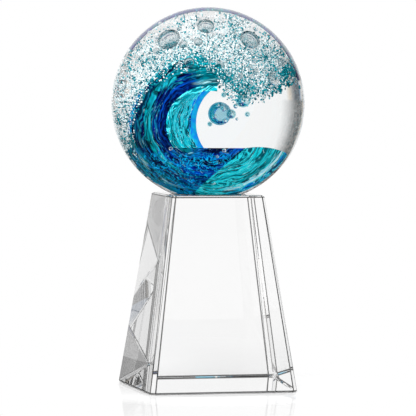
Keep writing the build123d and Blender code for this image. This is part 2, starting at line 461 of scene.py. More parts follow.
@dataclass(frozen=True)
class TintedGlass:
    """Coloured glass fused into the ball, which tints by its thickness and bends light little."""

    name: str
    colour: Colour
    density: float
    ior: float = 1.0

    def make(self) -> bpy.types.Material:
        """Build the finish.

        Returns:
            The material.
        """
        material, tree = new_material(self.name)
        glass = tree.add("BsdfPrincipled", Base_Color=WHITE, Roughness=0.0, IOR=self.ior,
                         Transmission_Weight=1.0)
        tint = tree.add("VolumeAbsorption", Color=self.colour, Density=self.density)
        tree.add("OutputMaterial", Surface=glass.outputs[0], Volume=tint.outputs[0])
        return material


@dataclass(frozen=True)
class Veins:
    """A broken web of thin veins below the sea's surface: the edges of warped cells, in millimetres."""

    colour: Colour
    cell_scale: float = 0.7
    width: Span = (0.09, 0.03)
    warp_scale: float = 0.45
    warp: float = 4.0
    break_scale: float = 0.5
    broken: Span = (0.40, 0.55)
    below: Span = (-15.4, -17.6)

    def mask(self, tree: Tree, local: Socket) -> Socket:
        """Where the veins run.

        Args:
            tree: The material's tree.
            local: A place in the ball's own axes.

        Returns:
            1 on a vein and 0 beside it.
        """
        warp = tree.add("TexNoise", Vector=local, Scale=self.warp_scale, Detail=2.0)
        bent = tree.add("VectorMath", {"operation": "MULTIPLY_ADD"}, i0=warp.outputs["Color"],
                        i1=grey(self.warp), i2=local)
        cells = tree.add("TexVoronoi", {"feature": "DISTANCE_TO_EDGE"}, Vector=bent.outputs[0],
                         Scale=self.cell_scale)
        gaps = tree.add("TexNoise", Vector=local, Scale=self.break_scale, Detail=2.0)
        return tree.product(tree.fade(cells.outputs["Distance"], *self.width),
                            tree.fade(gaps.outputs["Fac"], *self.broken),
                            tree.fade(tree.height(local), *self.below))


@dataclass(frozen=True)
class SeaGlass:
    """Coloured glass with streaks that follow the curl.

    The zone's place picks the main colour, and wander is how far streaks push that place about. Other stops
    take over to the curl's left, over its top, and at the edge, where the front view meets the back. Below
    the low turn, the edge has stops of its own. Dark streaks, light threads, veins and glints lie over that.
    """

    name: str
    zone: Zone
    stops: Stops
    wander: float
    dark: Layer = (NAVY, 0.9)
    light: Layer = (CYAN, 0.7)
    glint: Layer = (PALE, 0.7)
    veins: Optional[Veins] = None
    left: Optional[Stops] = None
    left_turn: Span = (-1.25, -0.8)
    over: Optional[Stops] = None
    over_turn: Span = (1.15, 1.5)
    edge: Optional[Stops] = None
    edge_depth: Span = (-7.5, -5.0)
    edge_wander: float = 7.0
    low_edge: Optional[Stops] = None
    low_turn: Span = (-1.25, -0.8)
    dark_fade: Span = (0.52, 0.44)
    # Painted light: the glass gives out light of its own colour, standing in for light that passes through
    # it.
    painted_glow: float = 0.55

    def make(self, effects: Effects) -> bpy.types.Material:
        """Build the finish.

        Args:
            effects: The groups it shares with the other sea glasses.

        Returns:
            The material.
        """
        material, tree = new_material(self.name)
        flow = tree.add("Group", {"node_tree": effects.flow_group}, Place=tree.place()).outputs
        brush = tree.add("Group", {"node_tree": effects.brush_group}, Flow=flow["Flow"]).outputs
        turn = flow["Turn"]
        broad = tree.pushed(flow[self.zone.output], brush["Broad"], 2 * self.wander)
        place = tree.share(tree.pushed(broad, brush["Fine"], self.wander), *self.zone.span)
        (dark, dark_share), (light, light_share), (glint, glint_share) = self.dark, self.light, self.glint
        colour = self.main(tree, place, self.stops)
        if self.left is not None:
            colour = tree.mix(tree.fade(turn, *self.left_turn), colour, self.main(tree, place, self.left))
        if self.over is not None:
            lip = tree.fade(turn, *self.over_turn)
            colour = tree.mix(lip, colour, self.main(tree, place, self.over))
            dark = tree.mix(lip, dark, DEEP_TEAL)
            light = tree.mix(lip, light, TURQUOISE)
        if self.edge is not None:
            edge = self.edge_colour(tree, tree.pushed(flow["Depth"], brush["Fine"], self.edge_wander), turn)
            colour = tree.mix(tree.fade(flow["Depth"], *self.edge_depth), colour, edge)
        colour = tree.mix(tree.product(tree.fade(brush["Fine"], *self.dark_fade), dark_share), colour, dark)
        colour = tree.mix(tree.product(brush["Thread"], light_share), colour, light)
        if self.veins is not None:
            colour = tree.mix(self.veins.mask(tree, flow["Local"]), colour, self.veins.colour)
        tree.enamel_with_painted_light(tree.mix(tree.product(brush["Glint"], glint_share), colour, glint), self.painted_glow)
        return material

    def main(self, tree: Tree, place: Socket, stops: Stops) -> Socket:
        """The colour of some stops at a place of the zone."""
        return tree.ramp(place, self.zone.shares(stops))

    def edge_colour(self, tree: Tree, depth: Socket, turn: Socket) -> Socket:
        """The colour at the edge, by depth.

        Args:
            tree: The material's tree.
            depth: The depth, already pushed about.
            turn: The turn round the curl.

        Returns:
            The edge's colour, or the low edge's below the low turn.
        """
        share = tree.share(depth, *Zone.DEPTH.span)
        colour = tree.ramp(share, Zone.DEPTH.shares(self.edge))
        if self.low_edge is None:
            return colour
        low = tree.ramp(share, Zone.DEPTH.shares(self.low_edge))
        return tree.mix(tree.fade(turn, *self.low_turn), low, colour)


@dataclass(frozen=True)
class GrainGlass:
    """Small opaque pieces whose shade differs from one to the next."""

    name: str
    stops: Stops
    # Painted light: the grains give out light of their own colour, so that they stay bright where they lie
    # in shade.
    painted_glow: float = 0.15
    scale: float = 800.0

    def make(self) -> bpy.types.Material:
        """Build the finish.

        Returns:
            The material.
        """
        material, tree = new_material(self.name)
        speckle = tree.add("TexNoise", Vector=tree.place(), Scale=self.scale, Detail=1.0)
        tree.enamel_with_painted_light(tree.ramp(speckle.outputs["Fac"], self.stops), self.painted_glow)
        return material


def ico_sphere(level: int) -> Mesh:
    """A unit sphere of triangles: an icosahedron with each face split in four at its edges' middles.

    Args:
        level: How many times to split.

    Returns:
        Its vertices and faces.
    """
    g = (1 + sqrt(5)) / 2
    verts = np.array([(-1, g, 0), (1, g, 0), (-1, -g, 0), (1, -g, 0), (0, -1, g), (0, 1, g), (0, -1, -g),
                      (0, 1, -g), (g, 0, -1), (g, 0, 1), (-g, 0, -1), (-g, 0, 1)], float)
    faces = np.array([(0, 11, 5), (0, 5, 1), (0, 1, 7), (0, 7, 10), (0, 10, 11), (1, 5, 9), (5, 11, 4),
                      (11, 10, 2), (10, 7, 6), (7, 1, 8), (3, 9, 4), (3, 4, 2), (3, 2, 6), (3, 6, 8),
                      (3, 8, 9), (4, 9, 5), (2, 4, 11), (6, 2, 10), (8, 6, 7), (9, 8, 1)])
    for _ in range(level):
        edges = np.sort(faces[:, [[0, 1], [1, 2], [2, 0]]].reshape(-1, 2), axis=1)
        unique, back = np.unique(edges, axis=0, return_inverse=True)
        middle = back.reshape(-1, 3) + len(verts)
        verts = np.concatenate([verts, verts[unique].mean(axis=1)])
        a, b, c = faces.T
        ab, bc, ca = middle.T
        parts = (a, ab, ca), (b, bc, ab), (c, ca, bc), (ab, bc, ca)
        faces = np.concatenate([np.stack(part, axis=1) for part in parts])
    return verts / np.linalg.norm(verts, axis=1, keepdims=True), faces


def copies(unit: Mesh, places: np.ndarray, axes: np.ndarray) -> Mesh:
    """Many copies of a shape as one mesh.

    A copy's vertex is its place plus the shape's vertex along the copy's own axes.

    Args:
        unit: The shape.
        places: Where each copy goes.
        axes: The three vectors that the shape's axes become in each copy.

    Returns:
        The mesh.
    """
    verts, faces = unit
    moved = places[:, None, :] + np.einsum("vk,nkj->nvj", verts, axes)
    shifts = np.arange(len(places))[:, None, None] * len(verts)
    return moved.reshape(-1, 3), (faces[None] + shifts).reshape(-1, 3)


def hollow_out(mesh: Mesh) -> Mesh:
    """The same surface facing the other way, as the wall of a void."""
    return mesh[0], mesh[1][:, ::-1]


def merge(meshes: Sequence[Mesh]) -> Mesh:
    """Several meshes as one.

    Args:
        meshes: The meshes.

    Returns:
        One mesh with all their vertices and faces, in order.
    """
    starts = np.cumsum([0] + [len(verts) for verts, _ in meshes[:-1]])
    return (np.concatenate([verts for verts, _ in meshes]),
            np.concatenate([faces + start for (_, faces), start in zip(meshes, starts)]))


def add_piece(data: bpy.types.Mesh, nodes: Sequence[str]) -> None:
    """Put a finished mesh into the scene as a piece.

    Args:
        data: The mesh, whose name the piece takes.
        nodes: The CAD nodes that it stands for.
    """
    piece = bpy.data.objects.new(data.name, data)
    bpy.context.scene.collection.objects.link(piece)
    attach(piece, "root")
    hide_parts(*nodes)
    LOG.info("%s: %d faces", data.name, len(data.polygons))


def smooth_mesh(name: str, mesh: Mesh, material: bpy.types.Material) -> bpy.types.Mesh:
    """A smooth-shaded mesh of triangles.

    Args:
        name: Its name.
        mesh: Its vertices and faces.
        material: Its material.

    Returns:
        The mesh.
    """
    verts, faces = mesh
    data = bpy.data.meshes.new(name)
    data.vertices.add(len(verts))
    data.vertices.foreach_set("co", np.asarray(verts, np.float32).ravel())
    data.loops.add(faces.size)
    data.loops.foreach_set("vertex_index", np.asarray(faces, np.int32).ravel())
    data.polygons.add(len(faces))
    data.polygons.foreach_set("loop_start", np.arange(0, faces.size, 3, dtype=np.int32))
    data.update(calc_edges=True)
    data.polygons.foreach_set("use_smooth", np.ones(len(faces), bool))
    data.materials.append(material)
    return data


def dress(name: str, material: bpy.types.Material) -> None:
    """Give a CAD node its material.

    Args:
        name: The node.
        material: The material.
    """
    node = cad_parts[name]
    node.data.materials.clear()
    node.data.materials.append(material)
    LOG.info("%s: %s", name, material.name)


def rise(values: np.ndarray, low: float, high: float) -> np.ndarray:
    """Evenly from 0 at low to 1 at high."""
    return np.clip((values - low) / (high - low), 0.0, 1.0)


@dataclass(frozen=True)
class Ball:
    """The ball's place in the frame, from its CAD casing, and how finely its outside is divided."""

    radius: float
    top: float
    flat_z: float
    rings: int = 120
    segments: int = 200

    @classmethod
    def from_frame(cls) -> "Ball":
        """Read the casing's box.

        Returns:
            The ball.
        """
        low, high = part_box("clear_casing")
        radius = round((high.x - low.x) / 2 / MM, 1) * MM
        return cls(radius, high.z, low.z)

    @property
    def centre_z(self) -> float:
        """Height of the ball's middle."""
        return self.top - self.radius

    def to_frame(self, points: np.ndarray) -> np.ndarray:
        """Millimetres in the ball's own axes to metres in the shared frame: turned about z, then raised.

        Args:
            points: Places in the ball's own axes.

        Returns:
            The same places in the frame.
        """
        c, s = cos(WAVE_TURN), sin(WAVE_TURN)
        x, y, z = np.asarray(points, float).T * MM
        return np.stack([c * x - s * y, s * x + c * y, z + self.centre_z], axis=-1)

    def shell(self) -> Mesh:
        """The outside by angle from the top and angle round, as far as the flat's rim, and the flat itself.

        Returns:
            The mesh.
        """
        drop = (self.centre_z - self.flat_z) / self.radius
        down = np.linspace(0, np.arccos(-drop), self.rings + 1)[1:]
        around = np.linspace(0, 2 * pi, self.segments, endpoint=False)
        p, a = np.meshgrid(down, around, indexing="ij")
        grid = np.stack([np.sin(p) * np.cos(a), np.sin(p) * np.sin(a), np.cos(p)], axis=-1).reshape(-1, 3)
        verts = np.concatenate([grid, [(0, 0, 1), (0, 0, -drop)]]) * self.radius + (0, 0, self.centre_z)
        here = np.arange(self.rings * self.segments).reshape(self.rings, self.segments)
        after = np.roll(here, -1, axis=1)
        halves = [here[:-1], here[1:], after[1:]], [here[:-1], after[1:], after[:-1]]
        faces = [np.stack([corner.ravel() for corner in half], axis=1) for half in halves]
        top, bottom = len(grid), len(grid) + 1
        faces.append(np.stack([np.full(self.segments, top), here[0], after[0]], axis=1))
        faces.append(np.stack([np.full(self.segments, bottom), after[-1], here[-1]], axis=1))
        return verts, np.concatenate(faces)


class Clearance:
    """How far places are from the coloured CAD pieces."""

    def __init__(self, nodes: Sequence[str], skip: float = 1e-6) -> None:
        """Read the pieces.

        Args:
            nodes: Their names.
            skip: How far past a face, in metres, the count of faces goes on.
        """
        self.skip = Vector((0, 0, skip))
        self.trees = []
        for name in nodes:
            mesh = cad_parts[name].data
            faces = [face.vertices for face in mesh.polygons]
            self.trees.append(BVHTree.FromPolygons([vertex.co for vertex in mesh.vertices], faces))

    def gap(self, place: np.ndarray) -> float:
        """The way to the nearest piece.

        Args:
            place: A place in the frame.

        Returns:
            Metres, negative inside a piece.
        """
        best, here = 1.0, Vector(place)
        for tree in self.trees:
            near, normal, _, distance = tree.find_nearest(here)
            inside = (here - near).dot(normal) < 0 and self.inside(tree, here)
            best = min(best, -distance if inside else distance)
        return best

    def inside(self, tree: BVHTree, place: Vector) -> bool:
        """Whether a place is inside a closed piece, by how many of its faces are above it.

        Args:
            tree: The piece.
            place: The place.

        Returns:
            Whether the count is odd.
        """
        up, crossed = Vector((0, 0, 1)), 0
        while (place := tree.ray_cast(place, up)[0]) is not None:
            place, crossed = place + self.skip, crossed + 1
        return crossed % 2 == 1


@dataclass(frozen=True)
class Dots:
    """Round things in the ball's own axes: their places and radii in millimetres."""

    places: np.ndarray
    radii: np.ndarray

    @classmethod
    def listed(cls, rows: Sequence[tuple[Triple, float]]) -> "Dots":
        """From written places and radii."""
        return cls(np.array([place for place, _ in rows]), np.array([radius for _, radius in rows]))

    def __add__(self, other: "Dots") -> "Dots":
        """These and then others."""
        return Dots(np.concatenate([self.places, other.places]), np.concatenate([self.radii, other.radii]))

    def only(self, keep: np.ndarray) -> "Dots":
        """Those that a mask keeps."""
        return Dots(self.places[keep], self.radii[keep])

    def mesh(self, ball: Ball, level: int, grow: float = 0.0) -> Mesh:
        """Their spheres in the shared frame.

        Args:
            ball: The ball they are in.
            level: How often each sphere's faces are split.
            grow: Millimetres to add to each radius.

        Returns:
            The mesh.
        """
        radii = (self.radii + grow) * MM
        return copies(ico_sphere(level), ball.to_frame(self.places), np.eye(3)[None] * radii[:, None, None])


LARGE_BUBBLES = Dots.listed((
    ((-0.9, -6.0, 25.4), 2.8), ((-13.2, -8.0, 21.5), 3.9), ((-8.5, -12.5, 20.3), 1.5),
    ((-3.4, -15.0, 21.6), 1.5), ((-17.0, -8.0, 17.4), 1.2), ((14.0, -9.0, 22.0), 3.5),
    ((-6.7, -20.5, 14.8), 1.9), ((4.3, -18.5, 13.9), 1.2), ((10.5, -12.0, 9.4), 1.0),
    ((15.7, -12.0, 10.9), 1.2), ((21.0, -8.0, 8.2), 2.1), ((23.2, -3.0, 13.4), 1.4),
    ((30.5, -5.0, 8.4), 1.6),
))
HOOK_BUBBLES = Dots.listed((
    ((2.0, -15.2, -3.8), 0.9), ((5.0, -15.4, -1.4), 0.8), ((3.2, -15.6, -0.2), 0.55),
    ((5.4, -15.0, -5.2), 0.7), ((8.9, -13.5, -0.4), 0.8), ((9.4, -14.5, -4.6), 0.5),
    ((7.6, -13.0, 2.6), 0.6), ((-12.6, -15.5, -15.0), 0.8), ((5.5, -17.3, -15.6), 0.8),
    ((3.2, -17.0, -17.7), 0.6),
))
BEADS = Dots.listed((
    ((7.5, -14.5, -3.0), 1.6), ((10.9, -10.0, 1.6), 2.5), ((12.3, -10.0, -3.0), 0.9),
    ((0.6, -14.0, -6.2), 0.9), ((4.8, -10.0, 3.0), 0.9),
))


@dataclass(frozen=True)
class BlownGlass:
    """The clear ball and what is blown into it: bubbles, hollow beads and large bubbles whose thin tinted
    skins turn dark seen edge on, a painted shade for their rims.
    """

    ball: Ball
    bead_wall: float = 0.35
    bubble_skin: float = 0.06
    void_gap: float = 0.02
    flat_angle: float = radians(60)
    round_level: int = 3
    middle_level: int = 1
    fine_level: int = 0
    casing: ClearGlass = ClearGlass("casing_glass", GLASS_IOR)
    bead: TintedGlass = TintedGlass("spray_teal", (0.0, 0.55, 0.62), 700.0)
    air: AirGlass = AirGlass("bubble_air", BUBBLE_IOR)
    # Painted shade: the skins' tint darkens each large bubble at its rim.
    rim_shade_skin: TintedGlass = TintedGlass("bubble_teal_rim_shade", (0.1, 0.22, 0.26), 1600.0)

    @property
    def fixed(self) -> Dots:
        """All that have a written place."""
        return LARGE_BUBBLES + HOOK_BUBBLES + BEADS

    def walls(self, dots: Dots, wall: float) -> Mesh:
        """Round walls, each a closed skin with an outside and an inside."""
        return merge([dots.mesh(self.ball, self.round_level),
                      hollow_out(dots.mesh(self.ball, self.round_level, -wall))])

    def build(self, middle: Dots, fine: Dots) -> None:
        """Make the ball with its voids, then the beads' walls, the large bubbles and their skins.

        Args:
            middle: The foam's bubbles of middling size.
            fine: The foam's fine bubbles.
        """
        ball, level = self.ball, self.round_level
        voids = [HOOK_BUBBLES.mesh(ball, level), BEADS.mesh(ball, level, -self.bead_wall - self.void_gap),
                 middle.mesh(ball, self.middle_level), fine.mesh(ball, self.fine_level)]
        glass = merge([ball.shell()] + [hollow_out(void) for void in voids])
        casing = smooth_mesh("ball_glass", glass, self.casing.make())
        add_piece(casing, ("clear_casing",))
        casing.set_sharp_from_angle(angle=self.flat_angle)
        beads = smooth_mesh("bead_walls", self.walls(BEADS, self.bead_wall), self.bead.make())
        add_piece(beads, ("spray_beads",))
        air = LARGE_BUBBLES.mesh(ball, level, -self.bubble_skin - self.void_gap)
        add_piece(smooth_mesh("large_bubbles", air, self.air.make()), ())
        skins = self.walls(LARGE_BUBBLES, self.bubble_skin)
        add_piece(smooth_mesh("bubble_skins", skins, self.rim_shade_skin.make()), ())


@dataclass(frozen=True)
class FrontView:
    """The wave's outline as the front view draws it, in millimetres across and up.

    The view draws a place apart from the ball's middle line by 1 / (1 - depth / view_depth). To the right of
    the wave, the outline is the spray's lower edge: two half parabolas from its lowest point.
    """

    view_depth: float = 80.0
    outline_x: tuple[float, ...] = (-22.7, -22.6, -22.3, -18.0, -11.6, -3.0, 1.6, 4.6)
    outline_z: tuple[float, ...] = (-30.0, -14.5, -5.0, 4.4, 10.2, 13.4, 11.6, 7.0)
    spray_start: float = 5.0
    spray_low: Span = (10.0, 4.6)
    left_rise: float = 0.06
    right_rise: float = 0.03

    def grown(self, places: np.ndarray) -> np.ndarray:
        """How many times its size a thing at each place looks."""
        return 1 / (1 - places[:, 1] / self.view_depth)

    def seen(self, places: np.ndarray) -> tuple[np.ndarray, np.ndarray]:
        """Where the view shows each place, across and up."""
        grown = self.grown(places)
        return places[:, 0] * grown, places[:, 2] * grown

    def over(self, places: np.ndarray) -> np.ndarray:
        """How far above the outline the view shows each place.

        Args:
            places: The places.

        Returns:
            Millimetres, negative below the outline.
        """
        across, up = self.seen(places)
        low_x, low_z = self.spray_low
        spray = low_z + np.where(across > low_x, self.right_rise, self.left_rise) * (across - low_x) ** 2
        wave = np.interp(across, self.outline_x, self.outline_z)
        return up - np.where(across > self.spray_start, spray, wave)


@dataclass(frozen=True)
class TealShare:
    """What the share of teal among the foam's grains is made of."""

    base: float = 0.30
    broad: float = 0.6
    broad_size: float = 5.0
    small: float = 0.4
    small_size: float = 2.2
    crest: float = 0.35
    crest_fall: float = 4.0
    limb: float = 0.35
    top: float = -0.1
    top_fade: Span = (13.0, 21.0)
    lip: float = 0.25
    crown: float = 1.0


class Kind(Enum):
    """What a cell of the foam holds."""

    FINE = "fine"
    TEAL = "teal"
    WHITE = "white"


@dataclass
class Foam:
    """The foam's bubbles and grains, in the ball's own axes and millimetres.

    Ragged is how far foam may hang below the outline, at four places across. The crown is the ball's edge at
    the top, where the crown's cane shows, and the limb is its edge at the right.
    """

    ball: Ball
    clearance: Clearance
    view: FrontView = FrontView()
    teal: TealShare = TealShare()
    reach: float = 31.5
    cell: float = 0.9
    shake: float = 0.22
    share: float = 0.31
    clump: float = 0.9
    clump_size: float = 3.2
    wave_gap: float = 0.35
    bubble_gap: float = 0.4
    cleared: float = 0.92
    ragged_x: tuple[float, ...] = (-17.0, -12.0, 1.0, 3.0)
    ragged: tuple[float, ...] = (1.0, 3.2, 3.2, 5.2)
    fray_start: float = 3.0
    fray: float = 1.6
    behind_x: float = -6.0
    hollow_x: Span = (-10.5, 6.0)
    hollow_top: float = 4.0
    thin: float = 0.65
    crest_gain: float = 0.6
    crest_fall: float = 3.0
    low_fade: Span = (-27.0, -7.0)
    middle_fade: Span = (8.0, 20.0)
    middle_least: float = 0.1
    crown_turn: Span = (radians(-62), radians(82))
    crown_reach: float = 25.4
    crown_depth: float = 3.0
    crown_aside: float = 20.0
    crown_share: float = 0.5
    limb_x: float = 6.0
    limb_fade: Span = (18.0, 22.0)
    limb_gain: float = 1.6
    lip_end: Span = (7.5, 9.0)
    lip_spread: Span = (22.0, 50.0)
    lip_gain: float = 0.5
    middle_count: int = 170
    middle_tries: int = 14
    middle_radius: Span = (0.45, 1.05)
    middle_power: float = 2.5
    middle_margin: float = 1.5
    middle_gap: float = 0.1
    fine_share: float = 0.03
    grain_radius: Span = (0.11, 0.30)
    crest_grain: float = 0.08
    stretch: Span = (0.6, 1.5)
    teal_frit: GrainGlass = GrainGlass(
        "frit_teal",
        ((0.3, (0.0, 0.09, 0.13)), (0.45, TEAL), (0.6, TURQUOISE), (0.72, (0.3, 0.7, 0.75))), 0.35)
    white_frit: GrainGlass = GrainGlass(
        "frit_white",
        ((0.3, (0.60, 0.82, 0.85)), (0.45, (0.88, 0.94, 0.95)), (0.6, (0.98, 0.99, 0.99))), 0.45)
    rng: np.random.Generator = field(default_factory=lambda: np.random.default_rng(SEED))

    def density(self, places: np.ndarray) -> np.ndarray:
        """How much foam there is at each place.

        Foam fills what is above the outline or a ragged way below it, and what is behind the wave, but not
        the hollow. It thickens towards the crest, the limb and the lip's end, and thins low down and in the
        ball's middle.

        Args:
            places: The places.

        Returns:
            The chance of foam at each, where more than 1 is sure.
        """
        x, y, z = places.T
        across, up = self.view.seen(places)
        over, out = self.view.over(places), np.linalg.norm(places, axis=1)
        luck = self.rng.random(len(places)) ** np.where(across > self.fray_start, self.fray, 1.0)
        hangs = over > -np.interp(across, self.ragged_x, self.ragged) * luck
        behind = (y > 0.0) & (across < self.behind_x)
        hollow = (x > self.hollow_x[0]) & (x < self.hollow_x[1]) & (z < self.hollow_top)
        crown = self.by_crown(places)
        near = out < np.where(crown, self.crown_reach + self.crown_depth, self.reach)
        edge = np.where(crown, self.crown_share, 1.0 + self.limb_gain * self.by_limb(places))
        crest = self.thin + self.crest_gain * np.exp(-np.maximum(over, 0.0) / self.crest_fall)
        middle = np.maximum(rise(out, *self.middle_fade), self.middle_least)
        middle += self.lip_gain * self.by_lip(places)
        amount = edge * rise(up, *self.low_fade) * crest * middle
        return np.where((behind | hangs) & ~hollow & near, amount, 0.0)

    def by_crown(self, places: np.ndarray) -> np.ndarray:
        """Which places lie at the ball's edge by the crown's cane.

        Args:
            places: The places.

        Returns:
            A mask.
        """
        low, high = self.crown_turn
        turn = np.arctan2(places[:, 0], places[:, 2])
        edge = np.linalg.norm(places, axis=1) > self.crown_reach
        return (turn > low) & (turn < high) & edge & (np.hypot(*self.view.seen(places)) > self.crown_aside)

    def by_limb(self, places: np.ndarray) -> np.ndarray:
        """How near each place is to the ball's right edge, from 0 to 1."""
        across, up = self.view.seen(places)
        return rise(np.hypot(across, up), *self.limb_fade) * (across > self.limb_x)

    def by_lip(self, places: np.ndarray) -> np.ndarray:
        """How near each place is to the spray off the lip's end, from 0 to 1.

        Args:
            places: The places.

        Returns:
            A bell curve across and up.
        """
        (across, up), (end_x, end_z), (wide, tall) = self.view.seen(places), self.lip_end, self.lip_spread
        return np.exp(-(across - end_x) ** 2 / wide - (up - end_z) ** 2 / tall)

    def gaps(self, places: np.ndarray) -> np.ndarray:
        """Millimetres from each place to the wave."""
        return np.array([self.clearance.gap(place) for place in self.ball.to_frame(places)]) / MM

    def mottle(self, places: np.ndarray, size: float) -> np.ndarray:
        """Smooth noise from -1 to 1 with bumps of one size."""
        return np.array([noise.noise(Vector(place)) for place in places / size])

    def middle_bubbles(self, taken: Dots) -> Dots:
        """Bubbles of middling size that keep clear of the wave, of each other and of those already taken.

        Args:
            taken: Round things that are there already.

        Returns:
            The bubbles.
        """
        tries = self.middle_count * self.middle_tries
        places = self.rng.uniform(-self.reach, self.reach, (tries, 3))
        small, large = self.middle_radius
        dots = Dots(places, small + (large - small) * self.rng.random(tries) ** self.middle_power)
        chosen = self.rng.random(tries) < self.density(places)
        dots = dots.only(chosen & (np.linalg.norm(places, axis=1) < self.reach - self.middle_margin))
        dots = dots.only(self.gaps(dots.places) > dots.radii + self.middle_gap)
        every = taken + dots
        far = np.linalg.norm(every.places[:, None] - dots.places[None], axis=2)
        touch = far < every.radii[:, None] + dots.radii[None] + self.middle_gap
        earlier = np.arange(len(every.radii))[:, None] < np.arange(len(dots.radii))[None] + len(taken.radii)
        return dots.only(np.flatnonzero(~(touch & earlier).any(axis=0))[:self.middle_count])

    def cells(self, taken: Dots, clear: Dots) -> np.ndarray:
        """Free places of a shaken grid in the foam.

        Args:
            taken: Round things that are there already.
            clear: Those of them that nothing hides, and little shows behind.

        Returns:
            The places.
        """
        axis = np.arange(-self.reach, self.reach, self.cell)
        grid = np.stack(np.meshgrid(axis, axis, axis, indexing="ij"), axis=-1).reshape(-1, 3)
        grid += self.rng.uniform(-self.shake, self.shake, grid.shape) * self.cell
        grid = grid[np.linalg.norm(grid, axis=1) < self.reach]
        share = self.share * (1 + self.clump * self.mottle(grid, self.clump_size))
        grid = grid[self.rng.random(len(grid)) < share * self.density(grid)]
        far = np.linalg.norm(grid[:, None] - taken.places[None], axis=2) - taken.radii[None]
        grid = grid[far.min(axis=1) > self.bubble_gap]
        drawn = zip(self.view.seen(grid), self.view.seen(clear.places))
        aside = np.hypot(*(here[:, None] - there[None] for here, there in drawn))
        before = grid[:, None, 1] < clear.places[None, :, 1]
        luck = self.rng.random(len(grid))[:, None]
        meets = aside < (clear.radii * self.view.grown(clear.places))[None]
        grid = grid[~(meets & (before | (luck < self.cleared))).any(axis=1)]
        return grid[self.gaps(grid) > self.wave_gap]

    def share_out(self, taken: Dots, clear: Dots) -> dict[Kind, Dots]:
        """Fill each free cell with a fine bubble, a teal grain or a white grain.

        Args:
            taken: Round things that are there already.
            clear: Those of them that nothing hides, and little shows behind.

        Returns:
            The dots of each kind.
        """
        places, teal = self.cells(taken, clear), self.teal
        near = np.exp(-np.maximum(self.view.over(places), 0.0) / teal.crest_fall)
        share = teal.base + teal.broad * self.mottle(places, teal.broad_size)
        share += teal.small * self.mottle(places, teal.small_size)
        share += teal.crest * near + teal.limb * self.by_limb(places)
        share += teal.top * rise(self.view.seen(places)[1], *teal.top_fade)
        share += teal.lip * self.by_lip(places) + teal.crown * self.by_crown(places)
        luck = self.rng.random(len(places))
        fine = self.rng.random(len(places)) < self.fine_share
        small, large = self.grain_radius
        radii = small + (large - small) * self.rng.random(len(places)) ** 2.0 + self.crest_grain * near
        dots = Dots(places, radii)
        kinds = {Kind.FINE: dots.only(fine), Kind.TEAL: dots.only(~fine & (luck < share)),
                 Kind.WHITE: dots.only(~fine & (luck >= share))}
        for kind, some in kinds.items():
            LOG.info("foam %s: %d", kind.value, len(some.radii))
        return kinds

    def chips(self, dots: Dots) -> Mesh:
        """Small chips, each an icosahedron that is stretched and turned its own way.

        Args:
            dots: Their places and sizes.

        Returns:
            The mesh.
        """
        count = len(dots.radii)
        turns = np.linalg.qr(self.rng.normal(size=(count, 3, 3)))[0]
        turns *= np.sign(np.linalg.det(turns))[:, None, None]
        stretch = self.rng.uniform(*self.stretch, (count, 3, 1)) * dots.radii[:, None, None] * MM
        return copies(ico_sphere(0), self.ball.to_frame(dots.places), turns * stretch)

    def build(self, kinds: dict[Kind, Dots]) -> None:
        """Make the teal and the white grains.

        Args:
            kinds: The dots of each kind.
        """
        teal = smooth_mesh("teal_grains", self.chips(kinds[Kind.TEAL]), self.teal_frit.make())
        add_piece(teal, ("foam_frit_teal",))
        white = smooth_mesh("white_grains", self.chips(kinds[Kind.WHITE]), self.white_frit.make())
        add_piece(white, ("foam_frit_white",))


@dataclass
class Flecks:
    """Short cyan worms on the trough's outside, which is a ball that is flattened from front to back.

    They keep a gap from the swell, whose edge slants up to the right from its foot.
    """

    ball: Ball
    count: int = 90
    half_width: float = 28.8
    half_depth: float = 19.0
    heights: Span = (-27.4, -17.0)
    swell_edge: Span = (12.6, -14.5)
    swell_slant: float = radians(50.0)
    swell_gap: float = 2.0
    slant: float = 1.2
    length: Span = (0.6, 1.5)
    thickness: Span = (0.14, 0.24)
    lift: float = 0.05
    glass: GrainGlass = GrainGlass("cyan_fleck", ((0.3, BLUE), (0.6, CYAN)), 0.5)
    rng: np.random.Generator = field(default_factory=lambda: np.random.default_rng(SEED + 1))

    def mesh(self) -> Mesh:
        """Stretched balls that lie on the oval, each slanted its own way from level.

        Returns:
            The mesh in the shared frame.
        """
        wide, deep = self.half_width, self.half_depth
        z = self.rng.uniform(*self.heights, self.count)
        turn = self.rng.uniform(0, 2 * pi, self.count)
        ring = np.sqrt(1 - (z / wide) ** 2)
        places = np.stack([wide * ring * np.cos(turn), deep * ring * np.sin(turn), z], axis=1)
        edge_x, edge_z = self.swell_edge
        edge = edge_x + (z - edge_z) * np.tan(self.swell_slant)
        places = places[places[:, 0] < edge - self.swell_gap]
        out = places / np.array([wide, deep, wide]) ** 2
        out /= np.linalg.norm(out, axis=1, keepdims=True)
        level = np.cross(out, (0, 0, 1.0))
        level /= np.linalg.norm(level, axis=1, keepdims=True)
        each = (len(places), 1)
        slant = self.rng.uniform(-self.slant, self.slant, each)
        along = np.cos(slant) * level + np.sin(slant) * np.cross(out, level)
        length = self.rng.uniform(*self.length, each)
        thick = self.rng.uniform(*self.thickness, each)
        axes = np.stack([along * length, np.cross(out, along) * thick, out * thick], axis=1)
        turned = self.ball.to_frame(axes.reshape(-1, 3)) - (0, 0, self.ball.centre_z)
        on_top = self.ball.to_frame(places + out * (thick + self.lift))
        return copies(ico_sphere(1), on_top, turned.reshape(-1, 3, 3))

    def build(self) -> None:
        """Make the worms."""
        worms = smooth_mesh("cyan_worms", self.mesh(), self.glass.make())
        add_piece(worms, ("trough_flecks",))


